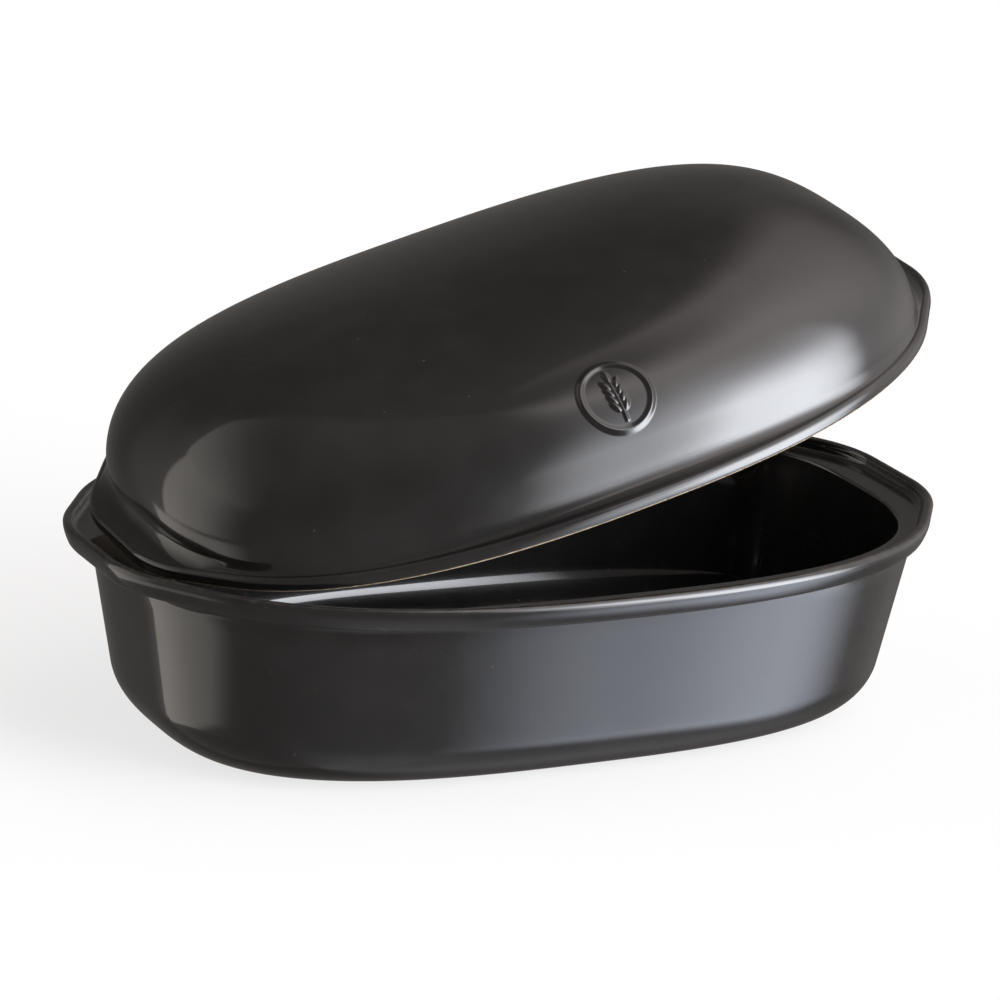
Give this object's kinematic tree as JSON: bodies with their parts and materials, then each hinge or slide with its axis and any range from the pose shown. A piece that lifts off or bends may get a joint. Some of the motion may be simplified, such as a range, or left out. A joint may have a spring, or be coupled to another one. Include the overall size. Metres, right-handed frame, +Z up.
{
  "type": "bread cloche",
  "caption": "Oval stoneware bread cloche: a deep dish with a ledge inside its raised lip and a domed lid that sits in the lip, propped open on one end grip.",
  "frame": {"origin": "on the table, under the middle of the dish", "axes": "+X along the length, towards the lid's raised end; +Y across, towards the side away from the medallion; +Z up"},
  "size_m": [0.36, 0.2388, 0.2096],
  "materials": {
    "dish_glaze": "charcoal glaze with a soft gloss, bare clay under the foot ring",
    "lid_glaze": "charcoal glaze with a soft gloss, bare buff clay on the lower face"
  },
  "bodies": {
    "dish": {"baking_dish": "dish_glaze"},
    "lid": {"domed_lid": "lid_glaze"}
  },
  "joints": [
    {"name": "lid_tip", "type": "hinge", "parent": "dish", "child": "lid", "pos_m": [-0.16949, -0.02862, 0.1087], "axis": [0.2756, -0.9613, 0], "range_deg": [-15.7, 44]}
  ]
}
